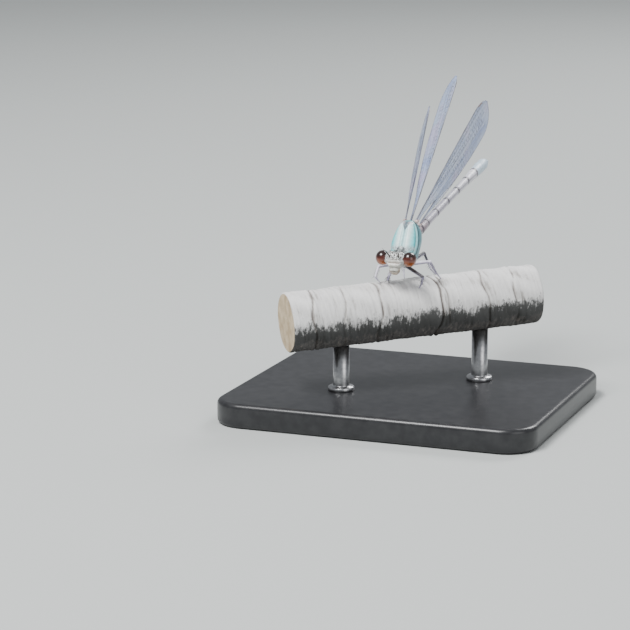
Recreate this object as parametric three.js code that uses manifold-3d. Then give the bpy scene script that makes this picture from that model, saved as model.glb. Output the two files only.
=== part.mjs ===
// A life-size museum model of a dancer damselfly gripping a cut length of branch on a display stand.
// Millimetres, +Z up. The animal faces -Y and its own left is +X.
import * as THREE from 'three';
import { mergeVertices } from 'three/addons/utils/BufferGeometryUtils.js';
import Module from 'manifold-3d';

const wasm = await Module();
wasm.setup();

// Driving dimensions
const GAP = 0.2;
const WELD_DISTANCE = 1e-4;
const FACE_TOLERANCE = 0.006;
const EYE_SPAN = 5.14;
const EYE_RADIUS = new THREE.Vector3(0.85, 0.96, 0.94);
const EYE_HEIGHT = 0.18;
const HEAD_HALF_WIDTH = 1.15;
const THORAX_HALF_WIDTH = 1.74;
const THORAX_WIDEST_AT = 0.3;
const FORE_WING_LENGTH = 22.6;
const HIND_WING_LENGTH = 22.0;
const WING_THICKNESS = 0.46;
const VEIN_HEIGHT = 0.09;
const LEG_RADIUS = 0.27;
const ABDOMEN_START = new THREE.Vector3(0, 7.95, 2.0);
const ABDOMEN_RISE = 0.185;
const ABDOMEN_SAG = 0.0006;
const PERCH_RADIUS = 3.65;
const PERCH_LENGTH = 32;
const PERCH_TURN = THREE.MathUtils.degToRad(38);
const PERCH_SLOPE = THREE.MathUtils.degToRad(3);
const BASE_SIZE = new THREE.Vector3(40, 34, 3);
const BASE_CORNER = 4;
const ROD_RADIUS = 1;
const ROD_HEIGHT = 6;
const ROD_SPACING = 18;

const at = (x, y, z) => new THREE.Vector3(x, y, z);

const colours = {
  face: [0xd9d6c8, 0.5],
  eye: [0x8a3d1c, 0.15],
  feeler: [0x3c3a3a, 0.5],
  pronotum: [0xbcc4c4, 0.5],
  thorax: [0xa9e0dc, 0.45],
  wing: [0xc9d4e6, 0.25],
  leg: [0xcfc8de, 0.5],
  abdomen: [0xb9b6cc, 0.45],
  bark: [0xcfcac2, 0.9],
  stand: [0x2a2a2c, 0.4],
};

const model = new THREE.Group();
const animal = new THREE.Group();
model.add(animal);

function material(finish) {
  const [color, roughness] = colours[finish];
  return new THREE.MeshStandardMaterial({ color, roughness, metalness: 0 });
}

function addNode(parent, name, geometry, finish) {
  const mesh = new THREE.Mesh(geometry, material(finish));
  mesh.name = name;
  parent.add(mesh);
  return mesh;
}

// Closed skins from rings of points
function volumeOf(points, faces) {
  let volume = 0;
  for (let i = 0; i < faces.length; i += 3) {
    const [a, b, c] = [points[faces[i]], points[faces[i + 1]], points[faces[i + 2]]];
    volume += a.dot(b.clone().cross(c));
  }
  return volume;
}

function skin(rings) {
  const sides = rings[0].length;
  const points = rings.flat();
  const faces = [];
  for (let row = 0; row + 1 < rings.length; row += 1) {
    for (let side = 0; side < sides; side += 1) {
      const a = row * sides + side;
      const b = row * sides + ((side + 1) % sides);
      faces.push(a, b, b + sides, a, b + sides, a + sides);
    }
  }
  for (const row of [0, rings.length - 1]) {
    const middle = rings[row].reduce((sum, p) => sum.add(p), at(0, 0, 0)).divideScalar(sides);
    points.push(middle);
    for (let side = 0; side < sides; side += 1) {
      const a = row * sides + side;
      const b = row * sides + ((side + 1) % sides);
      faces.push(...(row === 0 ? [b, a, points.length - 1] : [a, b, points.length - 1]));
    }
  }
  if (volumeOf(points, faces) < 0) faces.reverse();
  const geometry = new THREE.BufferGeometry();
  const coordinates = points.flatMap((p) => p.toArray());
  geometry.setAttribute('position', new THREE.Float32BufferAttribute(coordinates, 3));
  geometry.setIndex(faces);
  return geometry;
}

// Booleans, keeping the largest closed surface
function solidOf(geometry) {
  const bare = geometry.clone();
  bare.deleteAttribute('normal');
  bare.deleteAttribute('uv');
  const merged = mergeVertices(bare, WELD_DISTANCE);
  return new wasm.Manifold(new wasm.Mesh({
    numProp: 3,
    vertProperties: new Float32Array(merged.attributes.position.array),
    triVerts: new Uint32Array(merged.index.array),
  }));
}

function geometryOf(solid) {
  const pieces = solid.simplify(FACE_TOLERANCE).decompose();
  const largest = pieces.sort((a, b) => b.volume() - a.volume())[0];
  const mesh = largest.getMesh();
  const geometry = new THREE.BufferGeometry();
  geometry.setAttribute('position', new THREE.BufferAttribute(new Float32Array(mesh.vertProperties), 3));
  geometry.setIndex(new THREE.BufferAttribute(new Uint32Array(mesh.triVerts), 1));
  return geometry;
}

function clearOf(geometry, ...neighbours) {
  let solid = solidOf(geometry);
  for (const neighbour of neighbours) solid = solid.subtract(solidOf(neighbour));
  return geometryOf(solid);
}

// A row of numbers read between its entries, smoothly
function smoothRow(values, t) {
  const place = t * (values.length - 1);
  const i = Math.min(Math.floor(place), values.length - 2);
  const u = place - i;
  const [a, b, c, d] = [i - 1, i, i + 1, i + 2].map(
    (k) => values[THREE.MathUtils.clamp(k, 0, values.length - 1)],
  );
  return 0.5 * (2 * b + (c - a) * u + (2 * a - 5 * b + 4 * c - d) * u * u + (3 * b - a - 3 * c + d) * u ** 3);
}

// A round limb along points, with a radius at each of them, drawn wider and longer by grow
function tube(path, radii, { sides = 8, steps = 5, grow = 0, squash = 1 } = {}) {
  const curve = new THREE.CatmullRomCurve3(path);
  const rings = [];
  for (let step = 0; step <= steps; step += 1) {
    const t = step / steps;
    const along = curve.getTangent(t);
    const reference = Math.abs(along.x) > 0.95 ? at(0, 0, 1) : at(1, 0, 0);
    const up = along.clone().cross(reference).normalize();
    const across = up.clone().cross(along);
    const middle = curve.getPoint(t);
    if (step === 0) middle.addScaledVector(along, -grow);
    if (step === steps) middle.addScaledVector(along, grow);
    const radius = smoothRow(radii, t) + grow;
    rings.push(Array.from({ length: sides }, (_, side) => {
      const turn = (2 * Math.PI * side) / sides;
      return middle.clone()
        .addScaledVector(across, radius * Math.cos(turn))
        .addScaledVector(up, radius * squash * Math.sin(turn));
    }));
  }
  return skin(rings);
}

// Head capsule: rings from the right side of the head to the left, with the shelf of the face in front
function headGeometry(grow) {
  const depth = [0.72, 0.84, 0.86, 0.86, 0.86, 0.84, 0.72];
  const height = [0.86, 1.04, 1.12, 1.12, 1.12, 1.04, 0.86];
  const centre = at(0, -0.08, -0.02);
  const shelf = { reach: 0.3, level: -0.62, spread: 0.32 };
  const steps = 14;
  const sides = 28;
  const rings = [];
  for (let step = 0; step <= steps; step += 1) {
    const t = step / steps;
    const x = (HEAD_HALF_WIDTH + grow) * (2 * t - 1);
    rings.push(Array.from({ length: sides }, (_, side) => {
      const turn = (2 * Math.PI * side) / sides;
      const y = centre.y + (smoothRow(depth, t) + grow) * Math.cos(turn);
      const z = centre.z + (smoothRow(height, t) + grow) * Math.sin(turn);
      const front = Math.max(0, -Math.cos(turn));
      const level = Math.exp(-(((z - shelf.level) / shelf.spread) ** 2));
      return at(x, y - shelf.reach * front * level * Math.max(0, 1 - x * x), z);
    }));
  }
  return skin(rings);
}

// Labrum and jaws under the face, rings from top to bottom
function mouthGeometry() {
  const widths = [0.62, 0.66, 0.6, 0.4];
  const depths = [0.44, 0.48, 0.44, 0.26];
  const top = at(0, -0.5, -0.98);
  const bottom = at(0, -0.38, -1.76);
  const steps = 5;
  const sides = 16;
  const rings = [];
  for (let step = 0; step <= steps; step += 1) {
    const t = step / steps;
    const middle = top.clone().lerp(bottom, t);
    rings.push(Array.from({ length: sides }, (_, side) => {
      const turn = (2 * Math.PI * side) / sides;
      const x = smoothRow(widths, t) * Math.sin(turn);
      return at(x, middle.y + smoothRow(depths, t) * Math.cos(turn), middle.z);
    }));
  }
  return skin(rings);
}

// A compound eye at the end of the head, its poles in front and behind
function eyeGeometry(side, grow) {
  const setBack = 0.02;
  const sides = 20;
  const rows = 14;
  const eye = new THREE.SphereGeometry(1, sides, rows);
  eye.rotateX(Math.PI / 2);
  eye.scale(EYE_RADIUS.x + grow, EYE_RADIUS.y + grow, EYE_RADIUS.z + grow);
  eye.translate(side * (EYE_SPAN / 2 - EYE_RADIUS.x), setBack, EYE_HEIGHT);
  return eye;
}

// Prothorax: rings from the neck back to the large thorax
function prothoraxGeometry(grow) {
  const halfWidth = [0.42, 0.66, 0.78, 0.74];
  const bottom = [-0.45, -0.85, -1.1, -1.1];
  const top = [0.45, 1.1, 1.42, 1.5];
  const neck = 0.86;
  const length = 1.34;
  const steps = 8;
  const sides = 18;
  const rings = [];
  for (let step = 0; step <= steps; step += 1) {
    const t = step / steps;
    const [low, high] = [smoothRow(bottom, t) - grow, smoothRow(top, t) + grow];
    rings.push(Array.from({ length: sides }, (_, side) => {
      const turn = (2 * Math.PI * side) / sides;
      const x = (smoothRow(halfWidth, t) + grow) * Math.sin(turn);
      return at(x, neck + length * t, (low + high) / 2 - ((high - low) / 2) * Math.cos(turn));
    }));
  }
  return skin(rings);
}

// Large thorax: level slices from the leg bases up to the wing bases. Each slice leans back,
// has two full lobes in front with the fine mid ridge between them, and narrows to the abdomen.
function thoraxGeometry(grow) {
  const heights = [-1.45, -1.2, -0.6, 0, 0.5, 1.0, 1.5, 2.0, 2.5, 3.0, 3.45, 3.8, 4.02];
  const fronts = [2.9, 2.3, 1.95, 1.78, 1.7, 1.8, 2.06, 2.36, 2.68, 3.0, 3.3, 3.62, 4.1];
  const backs = [4.1, 4.8, 5.6, 6.3, 6.9, 7.4, 7.7, 7.85, 7.75, 7.3, 6.7, 6.0, 5.2];
  const widths = [0.4, 0.66, 0.84, 0.93, 0.98, 1, 1, 0.95, 0.87, 0.75, 0.61, 0.47, 0.3];
  const lobe = { start: 0.6, full: 1.3, fading: 3.3, end: 4.0 };
  const groove = { depth: 0.1, place: 0.28, width: 0.2 };
  const ridgeHeight = 0.02;
  const sideRoundness = 0.85;
  const frontRoundness = 0.8;
  const backTaper = 0.42;
  const steps = 24;
  const sides = 32;
  const rings = [];
  for (let step = 0; step <= steps; step += 1) {
    const t = step / steps;
    const z = smoothRow(heights, t) + grow * (2 * t - 1);
    const front = smoothRow(fronts, t) - grow;
    const back = smoothRow(backs, t) + grow;
    const width = THORAX_HALF_WIDTH * smoothRow(widths, t) + grow;
    const widest = front + THORAX_WIDEST_AT * (back - front);
    const swelling = THREE.MathUtils.smoothstep(z, lobe.start, lobe.full);
    const lobes = swelling * (1 - THREE.MathUtils.smoothstep(z, lobe.fading, lobe.end));
    rings.push(Array.from({ length: sides }, (_, side) => {
      const turn = (2 * Math.PI * side) / sides;
      const [c, s] = [Math.cos(turn), Math.sin(turn)];
      const narrowing = 1 - backTaper * Math.max(0, c) ** 2;
      const x = width * Math.sign(s) * Math.abs(s) ** sideRoundness * narrowing;
      const reach = c < 0 ? -(widest - front) * Math.abs(c) ** frontRoundness : (back - widest) * c;
      const sunk = groove.depth * Math.exp(-(((Math.abs(x) - groove.place) / groove.width) ** 2));
      const ridge = side === sides / 2 ? ridgeHeight : 0;
      return at(x, widest + reach + (c < 0 ? lobes * (sunk - ridge) : 0), z);
    }));
  }
  return skin(rings);
}

// A wing: columns of points from its leading to its trailing edge, the main veins raised as
// ridges in both faces between the lower cells, on a narrow stalk that widens past the elbow.
function wingGeometry({ root, aim, length, chord, lean, side }) {
  const along = aim.clone().normalize();
  const up = at(0, 0, 1).addScaledVector(along, -along.z).normalize();
  const out = along.clone().cross(up).multiplyScalar(side);
  const turn = THREE.MathUtils.degToRad(lean);
  const back = up.clone().multiplyScalar(-Math.cos(turn)).addScaledVector(out, Math.sin(turn));
  const face = back.clone().cross(along);
  const trailing = [0.3, 0.3, 0.34, 0.5, 0.66, 0.79, 0.88, 0.94, 0.98, 1, 1].map((v) => v * chord);
  const stalkHalf = 0.26;
  const stalkEnd = 0.02;
  const bladeStart = 0.3;
  const tipStart = 0.85;
  const tipBluntness = 0.012;
  const apexPlace = 0.3 * chord;
  const bowed = { height: 0.1, speed: 1.1 };
  const cambered = { height: 0.22, speed: 1.05 };
  const veinSpacing = 1.25;
  const veinFading = 0.6;
  const thinning = 0.45;
  const columns = 11;
  const steps = 24;
  const bladeSteps = 17;
  const rings = [];
  for (let step = 0; step <= steps; step += 1) {
    const late = Math.max(0, step - bladeSteps) / (steps - bladeSteps);
    const early = Math.min(1, step / bladeSteps);
    const t = tipStart * early + (1 - tipStart) * Math.sin((late * Math.PI) / 2);
    const intoTip = Math.max(0, t - tipStart) / (1 - tipStart);
    const round = Math.sqrt(Math.max(tipBluntness, 1 - intoTip ** 2));
    const apex = apexPlace * THREE.MathUtils.smoothstep(t, 0.5, 1);
    const bow = bowed.height * Math.sin(Math.PI * Math.min(1, t * bowed.speed));
    const arch = cambered.height * Math.sin(Math.PI * Math.min(1, t * cambered.speed));
    const opening = THREE.MathUtils.smoothstep(t, stalkEnd, bladeStart);
    const blade = THREE.MathUtils.lerp(stalkHalf, smoothRow(trailing, t), opening);
    const lead = THREE.MathUtils.lerp(apex, -stalkHalf - bow, round);
    const trail = THREE.MathUtils.lerp(apex, blade, round);
    const upper = [];
    const lower = [];
    for (let column = 0; column < columns; column += 1) {
      const u = column / (columns - 1);
      const q = THREE.MathUtils.lerp(lead, trail, u ** veinSpacing);
      const vein = column % 2 === 0 ? VEIN_HEIGHT * (1 - veinFading * u) : 0;
      const half = (WING_THICKNESS / 2) * (1 - thinning * t * u) + vein;
      const camber = arch * Math.sin(Math.PI * u);
      const middle = root.clone().addScaledVector(along, t * length).addScaledVector(back, q);
      upper.push(middle.clone().addScaledVector(face, camber + half));
      lower.push(middle.clone().addScaledVector(face, camber - half));
    }
    rings.push([...upper, ...lower.reverse()]);
  }
  return skin(rings);
}

// A leg from its root to its foot, in three lengths that clear one another
function legGeometries(joints, clearances) {
  const lengths = [
    { part: 'femur', thickness: 1.25, narrowed: 1.0, bow: 0.12 },
    { part: 'tibia', thickness: 0.95, narrowed: 0.76, bow: -0.04 },
    { part: 'tarsus', thickness: 0.9, narrowed: 0.45, bow: -0.04 },
  ];
  const shapes = {};
  const grown = [...clearances];
  lengths.forEach(({ part, thickness, narrowed, bow }, i) => {
    const [start, end] = [joints[i], joints[i + 1]];
    const middle = start.clone().lerp(end, 0.5).add(at(0, 0, bow));
    const radii = [thickness, thickness, narrowed].map((share) => share * LEG_RADIUS);
    shapes[part] = clearOf(tube([start, middle, end], radii), ...grown);
    grown.push(tube([start, middle, end], radii, { grow: GAP }));
  });
  return shapes;
}

// One abdomen segment, between two distances along the abdomen
function abdomenPoint(distance) {
  const z = ABDOMEN_START.z + ABDOMEN_RISE * distance - ABDOMEN_SAG * distance ** 2;
  return at(ABDOMEN_START.x, ABDOMEN_START.y + distance, z);
}

function segmentGeometry(from, to, radii) {
  const long = 3;
  const path = [0, 0.5, 1].map((t) => abdomenPoint(THREE.MathUtils.lerp(from, to, t)));
  return tube(path, radii, { sides: 16, steps: to - from > long ? 6 : 4, squash: 1.06 });
}

// Perch, its axis worked out from a point under the feet
const perchMiddle = at(0.8, 3.6, -6.56);
const perchAlong = at(
  Math.cos(PERCH_TURN) * Math.cos(PERCH_SLOPE),
  Math.sin(PERCH_TURN) * Math.cos(PERCH_SLOPE),
  Math.sin(PERCH_SLOPE),
);

function perchGeometry(grow) {
  const ends = [-0.5, -0.25, 0, 0.25, 0.5].map((t) => perchMiddle.clone()
    .addScaledVector(perchAlong, t * PERCH_LENGTH));
  const radii = [1.02, 0.99, 1.0, 1.01, 0.985, 1.0, 1.0, 0.99, 1.02].map((v) => v * PERCH_RADIUS);
  return tube(ends, radii, { sides: 32, steps: 16, grow });
}

// Head, eyes, feelers and mouth
const head = headGeometry(0);
addNode(animal, 'head', head, 'face');
const headRoom = headGeometry(GAP);
addNode(animal, 'mouthparts', clearOf(mouthGeometry(), headRoom), 'face');
for (const [name, side] of [['left', 1], ['right', -1]]) {
  addNode(animal, `eye_${name}`, clearOf(eyeGeometry(side, 0), headRoom), 'eye');
  const feeler = [at(0.5 * side, -0.62, 0.5), at(0.74 * side, -1.25, 1.05), at(1.15 * side, -1.9, 1.75)];
  const feelerRod = tube(feeler, [0.26, 0.22, 0.1, 0.05], { steps: 6 });
  addNode(animal, `antenna_${name}`, clearOf(feelerRod, headRoom), 'feeler');
}

// Thorax in two nodes
const thoraxRoom = thoraxGeometry(GAP);
const prothorax = clearOf(prothoraxGeometry(0), headRoom, thoraxRoom);
const prothoraxRoom = prothoraxGeometry(GAP);
addNode(animal, 'prothorax', prothorax, 'pronotum');
addNode(animal, 'pterothorax', thoraxGeometry(0), 'thorax');

// Wings, half folded over the back, each at its own lean
const foreWing = { length: FORE_WING_LENGTH, chord: 4.0 };
const hindWing = { length: HIND_WING_LENGTH, chord: 4.3 };
const wings = {
  fore_right: { ...foreWing, root: at(-0.6, 5.0, 3.85), aim: at(-0.13, 0.824, 0.546), lean: 20, side: -1 },
  fore_left: { ...foreWing, root: at(0.92, 5.0, 3.85), aim: at(0.132, 0.79, 0.6), lean: 0, side: 1 },
  hind_right: { ...hindWing, root: at(-0.66, 6.8, 3.15), aim: at(0.09, 0.609, 0.788), lean: 45, side: -1 },
  hind_left: { ...hindWing, root: at(0.66, 6.8, 3.15), aim: at(0.125, 0.863, 0.49), lean: -26, side: 1 },
};
for (const [name, wing] of Object.entries(wings)) {
  addNode(animal, `wing_${name}`, clearOf(wingGeometry(wing), thoraxRoom), 'wing');
}

// Legs, set on the prothorax and the thorax, with their feet on the perch
const perchRoom = perchGeometry(GAP);
const legs = {
  fore_left: [at(0.5, 1.4, -0.75), at(3.5, -0.2, -1.8), at(2.85, 1.2, -3.0), at(2.3, 2.1, -3.7)],
  fore_right: [at(-0.5, 1.4, -0.75), at(-0.95, 0.3, -1.95), at(-1.4, 1.0, -2.75), at(-1.6, 1.8, -2.95)],
  mid_left: [at(0.7, 2.7, -0.9), at(3.67, 2.0, -0.3), at(3.86, 3.9, -2.09), at(4.23, 4.6, -2.9)],
  mid_right: [at(-0.7, 2.7, -0.9), at(-2.6, 1.1, -1.17), at(-2.6, -0.1, -2.25), at(-2.21, 0.5, -3.05)],
  hind_left: [at(0.7, 4.0, -0.8), at(1.3, 6.8, -0.26), at(2.4, 6.1, -2.0), at(2.8, 6.6, -2.85)],
  hind_right: [at(-0.7, 4.0, -0.8), at(-1.9, 6.2, 0.2), at(-0.95, 5.7, -2.35), at(-0.6, 5.0, -3.3)],
};
for (const [name, joints] of Object.entries(legs)) {
  const shapes = legGeometries(joints, [thoraxRoom, prothoraxRoom, perchRoom]);
  for (const [part, geometry] of Object.entries(shapes)) {
    addNode(animal, `leg_${name}_${part}`, geometry, 'leg');
  }
}

// Abdomen of ten segments, slim in the middle and swollen before its end
const segmentLengths = [0.95, 2.0, 3.75, 4.1, 4.05, 3.9, 3.25, 1.9, 1.4, 1.0];
const segmentRadii = [
  [0.5, 0.6, 0.56], [0.56, 0.6, 0.54], [0.52, 0.49, 0.5], [0.5, 0.48, 0.5], [0.5, 0.48, 0.52],
  [0.51, 0.5, 0.55], [0.54, 0.56, 0.65], [0.65, 0.71, 0.73], [0.72, 0.74, 0.7], [0.69, 0.64, 0.52],
];
let distance = 0;
segmentLengths.forEach((length, i) => {
  const shape = segmentGeometry(distance, distance + length, segmentRadii[i]);
  distance += length + GAP;
  if (i < segmentLengths.length - 1) {
    addNode(animal, `abdomen_${i + 1}`, i === 0 ? clearOf(shape, thoraxRoom) : shape, 'abdomen');
    return;
  }
  const clasper = { sunk: 0.55, reach: 0.35, radii: [0.22, 0.2, 0.1] };
  let tail = solidOf(shape);
  for (const side of [1, -1]) {
    const from = abdomenPoint(distance - clasper.sunk).add(at(0.26 * side, 0, 0.12));
    const to = abdomenPoint(distance + clasper.reach).add(at(0.34 * side, 0, 0.04));
    const path = [from, from.clone().lerp(to, 0.5), to];
    tail = tail.add(solidOf(tube(path, clasper.radii, { sides: 6, steps: 3 })));
  }
  addNode(animal, `abdomen_${i + 1}`, geometryOf(tail), 'abdomen');
});

// Perch on its stand
addNode(animal, 'perch', perchGeometry(0), 'bark');
const perchHeight = BASE_SIZE.z + ROD_HEIGHT + PERCH_RADIUS;
animal.position.set(-perchMiddle.x, -perchMiddle.y, perchHeight - perchMiddle.z);

// Flat base with round corners, drawn as its outline from the front right corner
function baseGeometry() {
  const outline = new THREE.Shape();
  const [x, y] = [BASE_SIZE.x / 2, BASE_SIZE.y / 2];
  outline.moveTo(x, -y + BASE_CORNER);
  [[x, y, 0], [-x, y, 90], [-x, -y, 180], [x, -y, 270]].forEach(([cornerX, cornerY, start]) => {
    const from = THREE.MathUtils.degToRad(start);
    outline.absarc(
      cornerX - Math.sign(cornerX) * BASE_CORNER,
      cornerY - Math.sign(cornerY) * BASE_CORNER,
      BASE_CORNER,
      from,
      from + Math.PI / 2,
    );
  });
  return new THREE.ExtrudeGeometry(outline, { depth: BASE_SIZE.z, bevelEnabled: false, curveSegments: 6 });
}

// Rods stand on the base and end where the perch rests on them
const rodLength = ROD_HEIGHT + PERCH_RADIUS;
const rodSides = 24;
addNode(model, 'stand_base', baseGeometry(), 'stand');
[-1, 1].forEach((end, i) => {
  const foot = perchAlong.clone().multiplyScalar((end * ROD_SPACING) / 2);
  const rod = new THREE.CylinderGeometry(ROD_RADIUS, ROD_RADIUS, rodLength, rodSides);
  rod.rotateX(Math.PI / 2);
  rod.translate(foot.x, foot.y, BASE_SIZE.z + GAP + rodLength / 2);
  const room = perchRoom.clone();
  room.translate(animal.position.x, animal.position.y, animal.position.z);
  addNode(model, `stand_rod_${i + 1}`, clearOf(rod, room), 'stand');
});

export default model;
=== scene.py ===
import bpy
import math
import random
import numpy as np
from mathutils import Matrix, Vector, noise


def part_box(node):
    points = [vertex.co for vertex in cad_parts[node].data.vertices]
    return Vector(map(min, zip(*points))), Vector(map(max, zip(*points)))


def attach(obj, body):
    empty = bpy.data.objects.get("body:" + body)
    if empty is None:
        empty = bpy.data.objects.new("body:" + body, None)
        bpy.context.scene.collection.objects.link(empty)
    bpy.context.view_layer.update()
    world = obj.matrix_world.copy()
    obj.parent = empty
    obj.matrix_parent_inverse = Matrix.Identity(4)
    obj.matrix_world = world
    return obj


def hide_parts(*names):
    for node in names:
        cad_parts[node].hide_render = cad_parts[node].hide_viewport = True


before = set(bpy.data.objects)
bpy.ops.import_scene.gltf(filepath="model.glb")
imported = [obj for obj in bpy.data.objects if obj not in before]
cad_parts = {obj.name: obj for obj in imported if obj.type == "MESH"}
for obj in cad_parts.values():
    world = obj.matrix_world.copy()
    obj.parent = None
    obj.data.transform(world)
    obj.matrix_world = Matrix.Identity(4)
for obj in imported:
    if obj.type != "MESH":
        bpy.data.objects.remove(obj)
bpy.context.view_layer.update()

# Camera: a long lens about 0.3 m away, a little above the insect's face and to its left.
# The head's centre is set to the same place in the frame as in the photograph.
head_low, head_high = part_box("head")
head_back_reach = 0.00078
head_box_sink = 0.00002
head_centre = Vector((
    (head_low[0] + head_high[0]) / 2,
    head_high[1] - head_back_reach,
    (head_low[2] + head_high[2]) / 2 + head_box_sink,
))
frame_pixels = 630
head_pixel = (396, 260)
lens_pixels = 2488
sensor_width = 36
camera_distance = 0.300
camera_turn = math.radians(19)
camera_height = math.radians(11)
to_camera = Vector((
    math.sin(camera_turn) * math.cos(camera_height),
    -math.cos(camera_turn) * math.cos(camera_height),
    math.sin(camera_height),
))
right_of_middle = (head_pixel[0] - frame_pixels / 2) / lens_pixels
above_middle = (frame_pixels / 2 - head_pixel[1]) / lens_pixels
ray_length = math.sqrt(1 + right_of_middle ** 2 + above_middle ** 2)
tilt = math.asin(-ray_length * math.sin(camera_height) / math.sqrt(1 + above_middle ** 2))
tilt -= math.atan(above_middle)
swing = math.atan2(right_of_middle, math.cos(tilt) - above_middle * math.sin(tilt))
camera = bpy.data.objects.new("camera", bpy.data.cameras.new("camera"))
camera.data.sensor_width = sensor_width
camera.data.lens = sensor_width * lens_pixels / frame_pixels
camera.data.clip_start = 0.01
camera.location = head_centre + to_camera * camera_distance
camera.rotation_euler = (math.pi / 2 + tilt, 0, camera_turn + swing)
bpy.context.collection.objects.link(camera)
bpy.context.scene.camera = camera

# Studio: a plain pale floor that runs far back, a broad soft light from above the left shoulder
# of the camera, a weaker one from the right, one from behind, and a pale even surround.


def set_inputs(tree, node, inputs):
    for socket, value in inputs.items():
        if isinstance(value, bpy.types.NodeSocket):
            tree.links.new(value, node.inputs[socket])
        else:
            node.inputs[socket].default_value = value


def new_material(name):
    material = bpy.data.materials.new(name)
    material.use_nodes = True
    return material, material.node_tree, material.node_tree.nodes["Principled BSDF"]


def soft_light(name, offset, size, power):
    light = bpy.data.objects.new(name, bpy.data.lights.new(name, "AREA"))
    light.data.size = size
    light.data.energy = power
    light.location = head_centre + Vector(offset)
    light.rotation_euler = (-Vector(offset)).to_track_quat("-Z", "Y").to_euler()
    bpy.context.collection.objects.link(light)


floor_reach = 3
floor_corners = [(-floor_reach, -floor_reach, 0), (floor_reach, -floor_reach, 0)]
floor_corners += [(floor_reach, floor_reach, 0), (-floor_reach, floor_reach, 0)]
floor_mesh = bpy.data.meshes.new("floor")
floor_mesh.from_pydata(floor_corners, [], [(0, 1, 2, 3)])
floor = bpy.data.objects.new("floor", floor_mesh)
bpy.context.collection.objects.link(floor)
floor_paint, floor_tree, floor_shader = new_material("pale floor")
set_inputs(floor_tree, floor_shader, {"Base Color": (0.50, 0.52, 0.51, 1), "Roughness": 0.9})
floor_mesh.materials.append(floor_paint)
soft_light("key light", (-0.12, -0.24, 0.46), 0.2, 4.6)
soft_light("fill light", (0.42, -0.22, 0.18), 0.3, 0.6)
soft_light("back light", (0.12, 0.42, 0.34), 0.2, 1.8)
surround = bpy.data.worlds.new("surround")
surround.use_nodes = True
set_inputs(surround.node_tree, surround.node_tree.nodes["Background"], {
    "Color": (0.78, 0.82, 0.86, 1),
    "Strength": 0.42,
})
bpy.context.scene.world = surround

# Head capsule: the pale face, with its upper shelf, the nose plate and the lip, between the eyes.
# It is one hard shell, drawn as rings from the right cheek to the left, in millimetres from the
# head's centre, and joined later with the rest of the body into one skin.
head_half_width = 1.24
head_depths = [0.66, 0.78, 0.82, 0.8, 0.82, 0.78, 0.66]
head_heights = [0.82, 0.98, 1.06, 1.07, 1.06, 0.98, 0.82]


def smooth_row(values, t):
    place = np.clip(t, 0, 1) * (len(values) - 1)
    i = np.minimum(np.floor(place).astype(int), len(values) - 2)
    u = place - i
    row = np.asarray(values, float)
    a = row[np.maximum(i - 1, 0)]
    b = row[i]
    c = row[i + 1]
    d = row[np.minimum(i + 2, len(values) - 1)]
    square = 2 * a - 5 * b + 4 * c - d
    cube = 3 * b - a - 3 * c + d
    return 0.5 * (2 * b + (c - a) * u + square * u ** 2 + cube * u ** 3)


def step_up(value, low, high):
    t = np.clip((value - low) / (high - low), 0, 1)
    return t * t * (3 - 2 * t)


def hump(value, middle, width):
    return np.exp(-(((value - middle) / width) ** 2))


def around(sides):
    return np.linspace(0, 2 * np.pi, sides, endpoint=False)


def ring_of(x, y, z):
    return np.stack(np.broadcast_arrays(x, y, z), axis=1)


def mesh_of_rings(name, rings, material=None, origin=head_centre):
    rings = np.asarray(rings, float)
    rows, sides = rings.shape[:2]
    caps = [rings[0].mean(axis=0), rings[-1].mean(axis=0)]
    points = np.vstack([rings.reshape(-1, 3), caps])
    faces = []
    for row in range(rows - 1):
        for side in range(sides):
            a = row * sides + side
            b = row * sides + (side + 1) % sides
            faces.append((a, b, b + sides, a + sides))
    last = (rows - 1) * sides
    for side in range(sides):
        after = (side + 1) % sides
        faces.append((after, side, len(points) - 2))
        faces.append((last + side, last + after, len(points) - 1))
    middle = points.mean(axis=0)
    volume = 0
    for face in faces:
        a, b, c = (points[k] - middle for k in face[:3])
        volume += np.dot(a, np.cross(b, c))
        if len(face) == 4:
            volume += np.dot(a, np.cross(c, points[face[3]] - middle))
    if volume < 0:
        faces = [tuple(reversed(face)) for face in faces]
    mesh = bpy.data.meshes.new(name)
    mesh.from_pydata([tuple(p / 1000 + np.array(origin)) for p in points], [], faces)
    mesh.shade_smooth()
    if material:
        mesh.materials.append(material)
    piece =bpy.data.objects.new(name, mesh)
    bpy.context.collection.objects.link(piece)
    return piece


def head_rings(rows=96, sides=120):
    turn = around(sides)
    front = np.clip(-np.cos(turn), 0, 1)
    top = np.clip(np.sin(turn), 0, 1)
    rings = []
    for t in np.linspace(0, 1, rows):
        x = head_half_width * (2 * t - 1)
        y = -0.06 + smooth_row(head_depths, t) * np.cos(turn)
        z = -0.02 + smooth_row(head_heights, t) * np.sin(turn)
        middle = np.clip(1 - (x / 1.12) ** 2, 0, 1)
        flare = 0.26 * step_up(z, -0.95, -0.2)
        snout = 1 - step_up(abs(x), 0.46 + flare, 0.82 + flare)
        nose = 0.26 * hump(z, -0.55, 0.24) * snout
        lip = 0.10 * hump(z, -0.98, 0.2) * middle
        folds = 0.07 * (hump(z, -0.84, 0.05) + hump(z, -0.23, 0.05)) * middle ** 0.5
        brow = 0.06 * hump(z, 0.0, 0.16) * middle
        feeler_pits = 0.06 * hump(abs(x), 0.62, 0.12) * hump(z, 0.25, 0.2)
        mid_groove = 0.05 * hump(x, 0, 0.06) * hump(z, 0.35, 0.3)
        y = y - (nose + lip - folds + brow - feeler_pits - mid_groove) * front ** 0.6
        z = z * np.where(z < 0, 1 - 0.55 * step_up(abs(x), 0.5, 1.1), 1)
        swellings = 0.05 * hump(abs(x), 0.55, 0.22) - 0.04 * hump(x, 0, 0.16)
        rings.append(ring_of(x, y, z + top ** 3 * swellings))
    return rings


head_shell = mesh_of_rings("head shell", head_rings())

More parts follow.
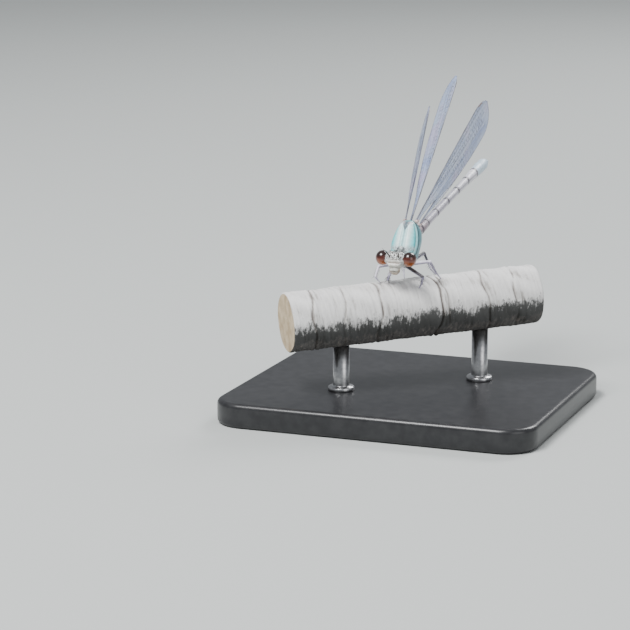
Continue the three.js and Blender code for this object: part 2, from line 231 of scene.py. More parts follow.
# Mouthparts: the lower lip and jaws, a short pale box under the face that narrows to its tip.
# They are hard like the face and hang from its lower rim.
mouth_top = -0.8
mouth_drop = 0.93
lip_fold_height = -1.26


def mouth_rings(rows=34, sides=48):
    turn = around(sides)
    sideways = np.abs(np.sin(turn))
    front = np.clip(-np.cos(turn), 0, 1)
    rings = []
    for t in np.linspace(0, 1, rows):
        z = mouth_top - mouth_drop * t
        width = smooth_row([0.62, 0.66, 0.64, 0.54, 0.3], t)
        depth = smooth_row([0.5, 0.5, 0.47, 0.38, 0.2], t)
        fold = 0.09 * hump(z, lip_fold_height, 0.05) - 0.05 * hump(z, -1.1, 0.1)
        cleft = 0.06 * hump(np.sin(turn), 0, 0.1) * step_up(-z, 1.28, 1.4)
        jaws = 0.06 * hump(sideways, 0.75, 0.2) * hump(z, -1.3, 0.16)
        x = (width + jaws) * np.sign(np.sin(turn)) * sideways ** 0.8
        y = -0.5 + 0.14 * t + depth * np.cos(turn) + (fold + cleft) * front ** 0.5
        rings.append(ring_of(x, y, z))
    return rings


mouth_shell = mesh_of_rings("mouth shell", mouth_rings())

# Neck and prothorax: a slim neck and the small collar-like plate behind the head, with a raised
# hind edge, that carries the fore legs.
neck_start = 0.5
neck_and_collar_length = 1.7


def prothorax_rings(rows=44, sides=56):
    turn = around(sides)
    top = np.clip(-np.cos(turn), 0, 1)
    rings = []
    for t in np.linspace(0, 1, rows):
        width = smooth_row([0.3, 0.36, 0.56, 0.72, 0.76, 0.72, 0.7], t)
        low = smooth_row([-0.3, -0.36, -0.7, -0.98, -1.05, -1.05, -0.9], t)
        high = smooth_row([0.3, 0.36, 0.78, 1.12, 1.2, 1.38, 1.2], t)
        dent = 0.07 * hump(t, 0.62, 0.06) * top
        z = (low + high) / 2 - ((high - low) / 2 - dent) * np.cos(turn)
        y = neck_start + neck_and_collar_length * t
        rings.append(ring_of((width - dent) * np.sin(turn), y, z))
    return rings


prothorax_shell = mesh_of_rings("prothorax shell", prothorax_rings())

# Large thorax: the leaning box behind the collar. Its front is two full pale plates on either side
# of a fine raised ridge, its flanks are three plates parted by sutures, and its back is low and
# hollow between the wings.
thorax_half_width = 1.72
thorax_widest_at = 0.3
thorax_heights = [-1.45, -1.2, -0.6, 0, 0.5, 1.0, 1.5, 2.0, 2.5, 3.0, 3.45, 3.8, 4.02]
thorax_fronts = [2.9, 2.3, 1.95, 1.78, 1.7, 1.8, 2.06, 2.36, 2.68, 3.0, 3.3, 3.62, 4.1]
thorax_backs = [4.1, 4.8, 5.6, 6.3, 6.9, 7.4, 7.7, 7.85, 7.75, 7.3, 6.7, 6.0, 5.2]
thorax_widths = [0.4, 0.66, 0.84, 0.93, 0.98, 1, 1, 0.95, 0.87, 0.75, 0.61, 0.47, 0.3]
thorax_back_taper = 0.42
thorax_side_roundness = 0.85
thorax_front_roundness = 0.8
suture_slope = 1.62
suture_places = (1.86, 3.3, 4.3)
suture_depth = 0.06
suture_width = 0.07


def suture_place(y, z):
    return y - z / suture_slope


def thorax_rings(rows=150, sides=210):
    turn = around(sides)
    c = np.cos(turn)
    s = np.sin(turn)
    outward = np.sign(s) * np.abs(s) ** thorax_side_roundness
    outward = outward * (1 - thorax_back_taper * np.clip(c, 0, 1) ** 2)
    rings = []
    for t in np.linspace(0, 1, rows):
        z = smooth_row(thorax_heights, t)
        front = smooth_row(thorax_fronts, t)
        back = smooth_row(thorax_backs, t)
        width = thorax_half_width * smooth_row(thorax_widths, t)
        widest = front + thorax_widest_at * (back - front)
        lobes = step_up(z, 0.6, 1.3) * (1 - step_up(z, 3.3, 4.0))
        x = width * outward
        forward = -(widest - front) * np.abs(c) ** thorax_front_roundness
        groove = 0.12 * hump(np.abs(x), 0.2, 0.14) - 0.05 * hump(x, 0, 0.045)
        y = widest + np.where(c < 0, forward + lobes * groove, (back - widest) * c)
        dent = sum(suture_depth * hump(suture_place(y, z), place, suture_width) for place in suture_places)
        dent = dent * step_up(np.abs(x), 0.5 * width, 0.8 * width) * step_up(z, -1.0, -0.4)
        rings.append(ring_of(x * (1 - dent / max(width, 0.4)), y, z))
    return rings


thorax_shell = mesh_of_rings("thorax shell", thorax_rings())

# Abdomen: ten ringed segments in one slim tube, a little narrower at each joint, swollen towards
# its end, with two short claspers.
abdomen_start = np.array([0, 7.95, 2.0])
abdomen_rise = 0.185
abdomen_sag = 0.0006
segment_lengths = [0.95, 2.0, 3.75, 4.1, 4.05, 3.9, 3.25, 1.9, 1.4, 1.0]
segment_gap = 0.2
joints_along = np.cumsum([length + segment_gap for length in segment_lengths])
abdomen_length = joints_along[-1]
blue_start = joints_along[6]
abdomen_radii = [
    (0, 0.42), (0.9, 0.58), (2.2, 0.6), (3.5, 0.5), (7.0, 0.48), (11.4, 0.47), (15.7, 0.48),
    (19.8, 0.53), (23.3, 0.66), (25.2, 0.73), (26.8, 0.71), (27.5, 0.61), (28.1, 0.42),
]


def abdomen_height(distance):
    return abdomen_start[2] + abdomen_rise * distance - abdomen_sag * distance ** 2


def abdomen_middle(distance):
    return np.array([0, abdomen_start[1] + distance, abdomen_height(distance)])


def ring_about(middle, across, up, wide, tall, turn):
    return middle + np.outer(wide * np.cos(turn), across) + np.outer(tall * np.sin(turn), up)


def abdomen_rings(sides=44):
    turn = around(sides)
    keel = 1 + 0.05 * np.clip(np.sin(turn), 0, 1) ** 6
    stops = np.unique(np.concatenate([
        np.arange(-0.6, abdomen_length - 0.2, 0.16),
        *[joint + np.linspace(-0.24, 0.16, 9) for joint in joints_along[:-1]],
    ]))
    rings = []
    for distance in stops:
        nearest = joints_along[np.argmin(np.abs(joints_along - distance))]
        collar = 0.035 * hump(distance, nearest - 0.16, 0.1)
        pinch = 0.05 * hump(distance, nearest + 0.02, 0.05)
        size = (np.interp(distance, *zip(*abdomen_radii)) + collar - pinch) * keel
        middle = abdomen_middle(distance)
        along = abdomen_middle(distance + 0.05) - middle
        along /= np.linalg.norm(along)
        up = np.array([0, -along[2], along[1]])
        rings.append(ring_about(middle, (1, 0, 0), up, size, size * 1.05, turn))
    return rings


def lengths_along(path):
    return np.concatenate([[0], np.cumsum(np.linalg.norm(np.diff(path, axis=0), axis=1))])


def places_on(path, lengths, places):
    return np.stack([np.interp(places, lengths, path[:, k]) for k in range(3)], axis=1)


def swept_rings(middles, radii, sides):
    tangents = np.gradient(middles, axis=0)
    tangents /= np.linalg.norm(tangents, axis=1)[:, None]
    across = np.cross(tangents[0], (0.3, 0.2, 0.93))
    turn = around(sides)
    rings = []
    for middle, tangent, radius in zip(middles, tangents, radii):
        across = across - tangent * np.dot(across, tangent)
        across /= np.linalg.norm(across)
        rings.append(ring_about(middle, across, np.cross(tangent, across), radius, radius, turn))
    return rings


def tube_rings(path, radii, sides=10, rows=12):
    path = np.asarray(path, float)
    lengths = lengths_along(path)
    middles = places_on(path, lengths, np.linspace(0, lengths[-1], rows))
    return swept_rings(middles, smooth_row(radii, np.linspace(0, 1, rows)), sides)


abdomen_shell = mesh_of_rings("abdomen shell", abdomen_rings())
clasper_shells = []
for side in (1, -1):
    clasper_root = abdomen_middle(abdomen_length - 0.6) + (0.2 * side, 0, 0.16)
    clasper_tip = abdomen_middle(abdomen_length + 0.3) + (0.3 * side, 0, 0.02)
    bend = (clasper_root + clasper_tip) / 2 + (0.07 * side, 0, 0.06)
    clasper_rings = tube_rings([clasper_root, bend, clasper_tip], [0.15, 0.16, 0.13, 0.05], rows=9)
    clasper_shells.append(mesh_of_rings(f"clasper {side}", clasper_rings))

# Legs: six slim jointed legs that grip the perch. Each is one tube that thins from the hip to
# the foot and pinches at its joints, rooted in the thorax.
leg_joints = {
    "fore_left": [(0.5, 1.4, -0.75), (3.5, -0.2, -1.8), (2.85, 1.2, -3.0), (2.3, 2.1, -3.62)],
    "fore_right": [(-0.5, 1.4, -0.75), (-0.95, 0.3, -1.95), (-1.4, 1.0, -2.75), (-1.6, 1.8, -2.92)],
    "mid_left": [(0.7, 2.7, -0.9), (3.67, 2.0, -0.3), (3.86, 3.9, -2.09), (4.23, 4.6, -2.82)],
    "mid_right": [(-0.7, 2.7, -0.9), (-2.6, 1.1, -1.17), (-2.6, -0.1, -2.25), (-2.21, 0.5, -2.98)],
    "hind_left": [(0.7, 4.0, -0.8), (1.3, 6.8, -0.26), (2.4, 6.1, -2.0), (2.8, 6.6, -2.78)],
    "hind_right": [(-0.7, 4.0, -0.8), (-1.9, 6.2, 0.2), (-0.95, 5.7, -2.35), (-0.6, 5.0, -3.2)],
}
leg_ring_spacing = 0.07
corner_points = 5


def leg_path(joints, corner=0.16):
    joints = [np.array(joint, float) for joint in joints]
    path = [joints[0]]
    for before, joint, after in zip(joints, joints[1:], joints[2:]):
        start = joint + (before - joint) / np.linalg.norm(before - joint) * corner
        end = joint + (after - joint) / np.linalg.norm(after - joint) * corner
        for t in np.linspace(0, 1, corner_points):
            path.append((1 - t) ** 2 * start + 2 * t * (1 - t) * joint + t ** 2 * end)
    path.append(joints[-1])
    return np.array(path)


def leg_rings(joints, sides=16):
    path = leg_path(joints)
    lengths = lengths_along(path)
    total = lengths[-1]
    knee = lengths[corner_points // 2 + 1]
    ankle = lengths[corner_points + corner_points // 2 + 1]
    places = np.linspace(0, total, int(total / leg_ring_spacing))
    thigh_stops = [0, 0.35, 0.7, knee * 0.5, knee - 0.3]
    shin_stops = [knee, knee + 0.3, ankle, ankle + 0.05, total]
    thigh = np.interp(places, thigh_stops, [0.4, 0.36, 0.24, 0.23, 0.19])
    shin = np.interp(places, shin_stops, [0.19, 0.16, 0.13, 0.11, 0.06])
    radii = np.where(places > knee, shin, thigh)
    radii += 0.035 * hump(places, knee, 0.12) + 0.02 * hump(places, ankle, 0.08)
    for share in (0.33, 0.66):
        radii -= 0.02 * hump(places, ankle + share * (total - ankle), 0.03)
    return swept_rings(places_on(path, lengths, places), radii, sides)


leg_shells = [mesh_of_rings(f"leg {name}", leg_rings(joints)) for name, joints in leg_joints.items()]

# Body skin: the shells of head, mouth, thorax, abdomen and legs fused into one closed skin, with
# its markings painted into a tint that the skin's materials read. Each marking is a colour and
# where it lies, and covers those before it.


def add_node(tree, kind, inputs=None, **settings):
    node = tree.nodes.new(kind)
    for setting, value in settings.items():
        setattr(node, setting, value)
    set_inputs(tree, node, inputs or {})
    return node


def object_place(tree):
    return add_node(tree, "ShaderNodeTexCoord").outputs["Object"]


def noise_value(tree, place, scale, detail=2, roughness=0.5):
    inputs = {"Vector": place, "Scale": scale, "Detail": detail, "Roughness": roughness}
    return add_node(tree, "ShaderNodeTexNoise", inputs).outputs["Fac"]


def bump_normal(tree, height, strength, distance, **settings):
    inputs = {"Height": height, "Strength": strength, "Distance": distance}
    return add_node(tree, "ShaderNodeBump", inputs, **settings).outputs["Normal"]


def relief_group():
    group = bpy.data.node_groups.new("cuticle relief", "ShaderNodeTree")
    for socket, way in (("Grain Size", "INPUT"), ("Relief", "OUTPUT"), ("Mottle", "OUTPUT")):
        group.interface.new_socket(socket, in_out=way, socket_type="NodeSocketFloat")
    grain_size = add_node(group, "NodeGroupInput").outputs["Grain Size"]
    place = object_place(group)
    scale = add_node(group, "ShaderNodeMath", {0: 1, 1: grain_size}, operation="DIVIDE").outputs[0]
    grain = noise_value(group, place, scale, 3)
    cells = add_node(group, "ShaderNodeTexVoronoi", {"Vector": place, "Scale": scale})
    relief = add_node(group, "ShaderNodeMath", {0: grain, 1: cells.outputs["Distance"]}, operation="ADD")
    broad = add_node(group, "ShaderNodeMath", {0: scale, 1: 0.22}, operation="MULTIPLY").outputs[0]
    mottle = noise_value(group, place, broad, 4)
    add_node(group, "NodeGroupOutput", {"Relief": relief.outputs[0], "Mottle": mottle})
    return group


cuticle_relief = relief_group()


def cuticle(name, roughness, grain, depth, coat=0.0, mottle=0.25):
    material, tree, shader = new_material(name)
    tint = add_node(tree, "ShaderNodeAttribute", attribute_name="tint")
    relief = add_node(tree, "ShaderNodeGroup", {"Grain Size": grain}, node_tree=cuticle_relief)
    shade = add_node(tree, "ShaderNodeMapRange", {
        "Value": relief.outputs["Mottle"],
        "From Min": 0.3,
        "From Max": 0.7,
        "To Min": 1 - mottle,
        "To Max": 1 + mottle * 0.5,
    })
    colour = add_node(tree, "ShaderNodeVectorMath", operation="SCALE")
    set_inputs(tree, colour, {0: tint.outputs["Color"], "Scale": shade.outputs[0]})
    set_inputs(tree, shader, {
        "Base Color": colour.outputs[0],
        "Normal": bump_normal(tree, relief.outputs["Relief"], 0.6, depth),
        "Roughness": roughness,
        "Coat Weight": coat,
        "Coat Roughness": 0.2,
        "Specular IOR Level": 0.45,
    })
    return material


skin_materials = {
    "head": cuticle("face cuticle", 0.42, 0.00009, 0.000006, coat=0.15, mottle=0.35),
    "prothorax": cuticle("collar cuticle", 0.5, 0.0001, 0.000008, mottle=0.5),
    "thorax": cuticle("thorax cuticle", 0.4, 0.00008, 0.000005, coat=0.2, mottle=0.14),
    "abdomen": cuticle("abdomen cuticle", 0.38, 0.00009, 0.000005, coat=0.2, mottle=0.2),
    "leg": cuticle("leg cuticle", 0.4, 0.00007, 0.000005, coat=0.1, mottle=0.2),
}
shells = {
    "thorax": [thorax_shell],
    "head": [head_shell, mouth_shell],
    "prothorax": [prothorax_shell],
    "abdomen": [abdomen_shell, *clasper_shells],
    "leg": leg_shells,
}
others = bpy.data.collections.new("shells to fuse")
bpy.context.scene.collection.children.link(others)
for part, pieces in shells.items():
    number = list(skin_materials).index(part)
    for piece in pieces:
        for material in skin_materials.values():
            piece.data.materials.append(material)
        piece.data.polygons.foreach_set("material_index", [number] * len(piece.data.polygons))
        if piece is not thorax_shell:
            bpy.context.collection.objects.unlink(piece)
            others.objects.link(piece)
fuse = thorax_shell.modifiers.new("fuse", "BOOLEAN")
fuse.operation = "UNION"
fuse.operand_type = "COLLECTION"
fuse.collection = others
fuse.solver = "MANIFOLD"
evaluated = thorax_shell.evaluated_get(bpy.context.evaluated_depsgraph_get())
skin_mesh = bpy.data.meshes.new_from_object(evaluated)
for pieces in shells.values():
    for piece in pieces:
        bpy.data.objects.remove(piece)
bpy.data.collections.remove(others)
body_skin = bpy.data.objects.new("body_skin", skin_mesh)
bpy.context.collection.objects.link(body_skin)
skin_mesh.shade_smooth()


def paint(points, markings):
    colour = np.zeros((len(points), 3))
    for tone, where in markings.values():
        amount = np.asarray(where, float)[..., None]
        colour = colour * (1 - amount) + np.array(tone) * amount
    return colour


def cloudy(points, size, seed):
    shift = Vector((seed, 0, 0))
    return np.array([0.5 + 0.6 * noise.noise(Vector(point) / size + shift) for point in points])


crown_flecks = [
    (0.0, 0.74, 0.09, 0.13), (0.28, 0.86, 0.07, 0.09), (0.55, 0.62, 0.11, 0.1),
    (0.82, 0.5, 0.07, 0.12), (0.34, 0.42, 0.15, 0.05), (0.0, 0.44, 0.07, 0.06),
    (0.95, 0.8, 0.09, 0.05), (0.2, 0.24, 0.12, 0.04), (0.66, 0.28, 0.05, 0.09),
]


def paint_head(p):
    x, y, z = p.T
    side = np.abs(x)
    front = y < -0.4
    band = step_up(z, -0.02, 0.2) * (1 - step_up(y, 0.1, 0.5))
    crown = step_up(y, -0.12, 0.1) * step_up(z, 0.3, 0.6)
    mottle = cloudy(p, 0.13, 1.7)
    unmarked = 1
    for place, height, width, tallness in crown_flecks:
        for mirror in (1, -1) if place else (1,):
            spot = np.exp(-(((x - mirror * place) / width) ** 2) - (((z - height) / tallness) ** 2))
            unmarked = unmarked * (1 - np.clip(1.5 * spot, 0, 0.95) * band)
    return paint(p, {
        "face": ((0.66, 0.66, 0.62), 1),
        "pale crown": ((0.74, 0.78, 0.77), step_up(z, 0.1, 0.5)),
        "blue cheeks": ((0.62, 0.72, 0.74), 0.6 * step_up(side, 0.6, 0.9) * (z < 0.3)),
        "brow": ((0.60, 0.50, 0.42), 0.45 * hump(z, -0.05, 0.12) * front),
        "line under brow": ((0.40, 0.22, 0.17), 0.8 * hump(z, -0.22, 0.05) * (side < 0.78) * front),
        "nose": ((0.84, 0.82, 0.74), 0.8 * hump(z, -0.55, 0.2) * front),
        "nose spots": ((0.40, 0.30, 0.20), 0.5 * hump(side, 0.34, 0.08) * hump(z, -0.45, 0.1) * front),
        "line over lip": ((0.34, 0.24, 0.16), 0.5 * hump(z, -0.85, 0.035) * (side < 0.8) * front),
        "lip fold": ((0.26, 0.15, 0.08), 0.75 * hump(z, lip_fold_height, 0.05) * front),
        "lip": ((0.84, 0.84, 0.76), 0.8 * hump(z, -1.06, 0.13) * front),
        "jaw tips": ((0.44, 0.28, 0.14), 0.6 * step_up(-z, 1.22, 1.5)),
        "jaw sides": ((0.46, 0.27, 0.12), 0.6 * hump(side, 0.62, 0.12) * hump(z, -1.15, 0.2)),
        "crown flecks": ((0.05, 0.045, 0.04), 1 - unmarked),
        "dark mottle": (
            (0.06, 0.05, 0.05),
            0.9 * step_up(mottle, 0.58, 0.66) * band * step_up(z, 0.0, 0.2),
        ),
        "brown rims": ((0.34, 0.24, 0.16), 0.5 * hump(mottle, 0.57, 0.03) * band),
        "white mottle": ((0.90, 0.91, 0.88), 0.7 * (1 - step_up(mottle, 0.3, 0.42)) * band),
        "back of crown": ((0.10, 0.11, 0.13), 0.8 * crown * (0.45 + 0.55 * step_up(mottle, 0.4, 0.5))),
        "nape": ((0.09, 0.09, 0.09), 0.85 * step_up(y, 0.25, 0.45) * hump(z, 0.2, 0.5)),
    })


def paint_prothorax(p):
    x, y, z = p.T
    side = np.abs(x)
    mottle = cloudy(p, 0.12, 4.1)
    return paint(p, {
        "collar": ((0.58, 0.66, 0.67), 1),
        "twin bars": ((0.12, 0.13, 0.13), 0.8 * hump(side, 0.34, 0.12) * step_up(z, 0.5, 0.8)),
        "cross band": ((0.08, 0.09, 0.09), 0.6 * hump(y, 1.3, 0.08) * step_up(z, 0.3, 0.6)),
        "pale sides": ((0.74, 0.82, 0.83), 0.7 * hump(side, 0.62, 0.1)),
        "mottle": ((0.16, 0.17, 0.18), 0.6 * step_up(mottle, 0.54, 0.62) * step_up(z, 0.6, 0.9)),
        "underside": ((0.62, 0.60, 0.58), 1 - step_up(z, -0.5, 0.0)),
    })


def paint_thorax(p):
    x, y, z = p.T
    side = np.abs(x)
    place = suture_place(y, z)
    forward = y < 4.4
    ridge = 1 - step_up(side, 0.03, 0.08)
    notch = 1 - step_up(side - 0.42 * step_up(z, 2.9, 3.9), -0.06, 0.04)
    flank_in_shade = step_up(place, 2.25, 2.35) * (1 - step_up(place, 5.6, 6.6))
    stripes = hump(place, 2.52, 0.2)
    for suture, strength, width in zip(suture_places, (0.75, 0.8, 0.8), (0.05, 0.08, 0.1)):
        stripes = stripes + strength * hump(place, suture, width)
    hollow = step_up(z - 4.02 + (y - 5.2) * 0.55, -0.3, 0.0) * (1 - step_up(side, 0.35, 0.7)) * (y > 4.3)
    low_front = hump(z, 1.05, 0.28) * (y < 2.6)
    mottle = cloudy(p, 0.12, 2.3)
    front_plates = paint(p, {
        "turquoise": ((0.10, 0.68, 0.74), 1),
        "white middle": ((0.80, 0.97, 0.97), hump(side, 0.5, 0.55)),
        "deep edge": ((0.03, 0.46, 0.50), 0.85 * step_up(place, 1.5, 1.8)),
        "inner line": ((0.36, 0.76, 0.78), 0.6 * hump(side, 0.36, 0.05)),
    })
    return paint(p, {
        "flanks": ((0.22, 0.62, 0.66), 1),
        "front plates": (front_plates, 1 - step_up(place, 1.78, 1.86)),
        "mid ridge": ((0.16, 0.30, 0.31), 0.75 * ridge * forward * step_up(z, 0.8, 1.2)),
        "notch between wings": ((0.10, 0.13, 0.16), 0.9 * notch * step_up(z, 2.7, 3.1) * forward),
        # Painted shade: the side plates of the thorax are darkened to a deep teal on both sides.
        "painted shade on flanks": ((0.10, 0.26, 0.32), 0.8 * flank_in_shade),
        "shoulder stripe": ((0.52, 0.88, 0.90), 0.8 * hump(place, 2.04, 0.12) * step_up(side, 0.3, 0.6)),
        "pale flank bar": ((0.30, 0.58, 0.62), 0.6 * hump(place, 3.75, 0.25) * step_up(side, 0.5, 0.9)),
        "black stripes": ((0.015, 0.05, 0.06), 0.93 * np.clip(stripes, 0, 1) * step_up(side, 0.3, 0.6)),
        "hollow back": ((0.10, 0.12, 0.13), 0.8 * hollow),
        "wing roots": ((0.60, 0.50, 0.52), 0.6 * hump(z, 3.92, 0.12) * forward * step_up(side, 0.1, 0.3)),
        "grey low front": ((0.58, 0.62, 0.64), 0.65 * low_front),
        "dark low front": ((0.20, 0.22, 0.24), 0.7 * low_front * step_up(mottle, 0.52, 0.6)),
        "underside": ((0.62, 0.64, 0.62), 0.8 * (1 - step_up(z, -0.9, -0.3))),
    })


def paint_abdomen(p):
    x, y, z = p.T
    distance = (y - abdomen_start[1]) / 0.985
    high = (z - abdomen_height(distance)) / 0.5
    past_joint = distance - joints_along[np.argmin(np.abs(joints_along[:, None] - distance), axis=0)]
    ring = step_up(past_joint, -0.6, -0.35) * (1 - step_up(past_joint, 0.0, 0.06))
    line = hump(high, 0.2, 0.24) * step_up(np.abs(x), 0.3, 0.42)
    before_blue = distance < blue_start
    return paint(p, {
        "lavender": ((0.68, 0.65, 0.74), 1),
        "brown root": ((0.36, 0.27, 0.30), 0.8 * (1 - step_up(distance, 1.5, 5.0))),
        "pale end": ((0.78, 0.77, 0.84), step_up(distance, 9, 20)),
        "blue tip": ((0.50, 0.68, 0.80), 0.7 * step_up(distance, blue_start - 0.3, blue_start + 0.3)),
        "dark rings": ((0.05, 0.045, 0.055), 0.85 * ring * before_blue),
        "side line": ((0.13, 0.11, 0.14), 0.5 * line * before_blue),
        "underside": ((0.80, 0.80, 0.84), 0.5 * (high < -0.6)),
    })


leg_paths = [leg_path(joints) for joints in leg_joints.values()]
# How dark each leg's black stripe is, in the order of leg_joints. The hind left leg's strong black is
# partly its real stripe and partly painted shade.
leg_stripe_and_shade_strength = [1.0, 0.3, 0.35, 0.3, 0.9, 0.3]


def paint_leg(p):
    nearest = np.full(len(p), np.inf)
    away = np.zeros((len(p), 3))
    along = np.zeros(len(p))
    stripe_and_shade_strength = np.zeros(len(p))
    for path, dark in zip(leg_paths, leg_stripe_and_shade_strength):
        walked = 0
        for a, b in zip(path, path[1:]):
            step = b - a
            length = np.linalg.norm(step)
            t = np.clip((p - a) @ step / length ** 2, 0, 1)
            offset = p - (a + t[:, None] * step)
            gap = np.linalg.norm(offset, axis=1)
            closer = gap < nearest
            nearest[closer] = gap[closer]
            away[closer] = offset[closer]
            along[closer] = (walked + t * length)[closer]
            stripe_and_shade_strength[closer] = dark
            walked += length
    away /= np.maximum(np.linalg.norm(away, axis=1), 1e-6)[:, None]
    facing_forward = away @ np.array([0.15, -0.75, 0.64])
    facing_down = away @ np.array([0, 0.55, -0.83])
    striped_side = np.where(stripe_and_shade_strength > 0.5, facing_forward, facing_down)
    stripe = step_up(striped_side, 0.15, 0.5) * (1 - step_up(along, 3.9, 4.6))
    return paint(p, {
        "whitish lavender": ((0.74, 0.71, 0.82), 1),
        # Painted shade: the downward-facing side of every leg is darkened to violet.
        "painted shade under each leg": ((0.30, 0.26, 0.44), 0.75 * step_up(-away[:, 2], -0.3, 0.6)),
        # Black stripe: the real leg stripes, and on the hind left leg also painted shade.
        "black stripe with painted shade": ((0.03, 0.026, 0.03), 0.95 * stripe * stripe_and_shade_strength),
        "dark foot": ((0.06, 0.05, 0.06), 0.85 * step_up(along, 6.6, 7.0)),
        "hip": ((0.62, 0.64, 0.62), 1 - step_up(along, 0.3, 0.9)),
    })


skin_points = np.empty(len(skin_mesh.vertices) * 3)
skin_mesh.vertices.foreach_get("co", skin_points)
skin_points = (skin_points.reshape(-1, 3) - np.array(head_centre)) * 1000
part_of_point = np.zeros(len(skin_points), int)
for polygon in skin_mesh.polygons:
    for vertex in polygon.vertices:
        part_of_point[vertex] = polygon.material_index
painters = [paint_head, paint_prothorax, paint_thorax, paint_abdomen, paint_leg]
tints = np.ones((len(skin_points), 4))
for number, painter in enumerate(painters):
    chosen = part_of_point == number
    tints[chosen, :3] = np.clip(painter(skin_points[chosen]), 0, 1)
tint = skin_mesh.attributes.new("tint", "FLOAT_COLOR", "POINT")
tint.data.foreach_set("color", tints.ravel())
leg_nodes = [f"leg_{name}_{part}" for name in leg_joints for part in ("femur", "tibia", "tarsus")]
abdomen_nodes = [f"abdomen_{number}" for number in range(1, 11)]
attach(body_skin, "root")
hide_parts("head", "mouthparts", "prothorax", "pterothorax", *leg_nodes, *abdomen_nodes)

# Eyes: two bulging compound eyes set on the sides of the head, glossy, dark red-brown above and
# warmer orange-brown below, with fine facets.
eye_span = 5.10
eye_radii = np.array([0.86, 0.94, 0.91])
eye_set_back = 0.02
eye_height = 0.18
eye_colour_reach = 0.0009


def colour_ramp(tree, value, stops):
    ramp = add_node(tree, "ShaderNodeValToRGB", {"Fac": value})
    elements = ramp.color_ramp.elements
    for index, (position, colour) in enumerate((stops[0], stops[-1])):
        elements[index].position = position
        elements[index].color = (*colour, 1)
    for position, colour in stops[1:-1]:
        elements.new(position).color = (*colour, 1)
    return ramp.outputs["Color"]


def scaled_sum(tree, value, factor, addend):
    inputs = {0: value, 1: factor, 2: addend}
    return add_node(tree, "ShaderNodeMath", inputs, operation="MULTIPLY_ADD").outputs[0]


def eye_material():
    material, tree, shader = new_material("compound eye")
    place = object_place(tree)
    parted = add_node(tree, "ShaderNodeSeparateXYZ", {0: place})
    level = add_node(tree, "ShaderNodeMapRange", {
        "Value": parted.outputs["Z"],
        "From Min": head_centre.z - eye_colour_reach,
        "From Max": head_centre.z + eye_colour_reach,
    })
    drift = scaled_sum(tree, noise_value(tree, place, 1800, 3), 0.3, level.outputs[0])
    facets = add_node(tree, "ShaderNodeTexVoronoi", {"Vector": place, "Scale": 26000})
    set_inputs(tree, shader, {
        "Base Color": colour_ramp(tree, drift, [
            (0.12, (0.40, 0.13, 0.025)),
            (0.48, (0.34, 0.085, 0.015)),
            (0.76, (0.10, 0.014, 0.005)),
            (1.0, (0.016, 0.003, 0.002)),
        ]),
        "Normal": bump_normal(tree, facets.outputs["Distance"], 0.35, 0.000004, invert=True),
        "Roughness": 0.28,
        "Coat Weight": 0.8,
        "Coat Roughness": 0.06,
    })
    return material


def ball(rows, sides, pole=0.05):
    lean = np.linspace(pole, np.pi - pole, rows)[:, None]
    turn = around(sides)
    rounded = (np.sin(lean) * np.cos(turn), np.sin(lean) * np.sin(turn), np.cos(lean))
    return np.stack(np.broadcast_arrays(*rounded), axis=2)


eye_gloss = eye_material()
for name, side in (("left", 1), ("right", -1)):
    eye_place = (side * (eye_span / 2 - eye_radii[0]), eye_set_back, eye_height)
    sideways_ball = np.roll(ball(64, 96, pole=0.02), 1, axis=2)
    eye = mesh_of_rings(f"eye_{name}_ball", sideways_ball * eye_radii + eye_place, eye_gloss)
    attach(eye, "root")
    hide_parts(f"eye_{name}")

# Feelers and the three small simple eyes on the crown: short dark bristle-like feelers on a
# thicker root, and glassy beads between them.


def plain_material(name, low, high, scale, roughness, ramp_start=0.35, ramp_end=0.65):
    material, tree, shader = new_material(name)
    cloud = noise_value(tree, object_place(tree), scale)
    set_inputs(tree, shader, {
        "Base Color": colour_ramp(tree, cloud, [(ramp_start, low), (ramp_end, high)]),
        "Roughness": roughness,
    })
    return material


feeler_material = plain_material("dark feeler", (0.02, 0.018, 0.018), (0.09, 0.075, 0.07), 9000, 0.35, 0, 1)
feeler_radii = [0.1, 0.105, 0.085, 0.09, 0.045, 0.03, 0.024, 0.018, 0.012]
for name, side in (("left", 1), ("right", -1)):
    feeler_path = [
        (0.5 * side, -0.55, 0.42),
        (0.6 * side, -0.95, 0.72),
        (0.74 * side, -1.25, 1.05),
        (1.15 * side, -1.9, 1.75),
    ]
    feeler_rings = tube_rings(feeler_path, feeler_radii, sides=12, rows=40)
    feeler = mesh_of_rings(f"feeler_{name}", feeler_rings, feeler_material)
    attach(feeler, "root")
    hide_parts(f"antenna_{name}")
bead_radius = 0.1
bead_places = ((0.3, -0.42, 0.88), (-0.3, -0.42, 0.88), (0, -0.62, 0.72))
for number, bead_place in enumerate(bead_places, 1):
    bead = mesh_of_rings(f"simple_eye_{number}", ball(14, 20) * bead_radius + bead_place, eye_gloss)
    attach(bead, "root")

# Wings: four clear membranes, each on a narrow stalk, stiffened by a comb of long veins and cross
# veins and marked with a small dark cell near the tip. Each is hinged by a pinkish knuckle.
fore_wing = dict(length=22.6, chord=4.0)
hind_wing = dict(length=22.0, chord=4.3)
wing_poses = {
    "fore_right": dict(fore_wing, root=(-0.6, 5.0, 3.85), aim=(-0.13, 0.824, 0.546), lean=20, side=-1),
    "fore_left": dict(fore_wing, root=(0.92, 5.0, 3.85), aim=(0.132, 0.79, 0.6), lean=0, side=1),
    "hind_right": dict(hind_wing, root=(-0.66, 6.8, 3.15), aim=(0.09, 0.609, 0.788), lean=45, side=-1),
    "hind_left": dict(hind_wing, root=(0.66, 6.8, 3.15), aim=(0.125, 0.863, 0.49), lean=-26, side=1),
}
trailing_shape = [0.3, 0.3, 0.34, 0.5, 0.66, 0.79, 0.88, 0.94, 0.98, 1, 1]
stalk_half_width = 0.26
tip_start = 0.85
tip_bluntness = 0.0004
apex_share = 0.3
film_half = 0.012
cell_half = 0.035
vein_radius = 0.000022
cross_vein_start = 0.16
cross_vein_spacing = 0.62
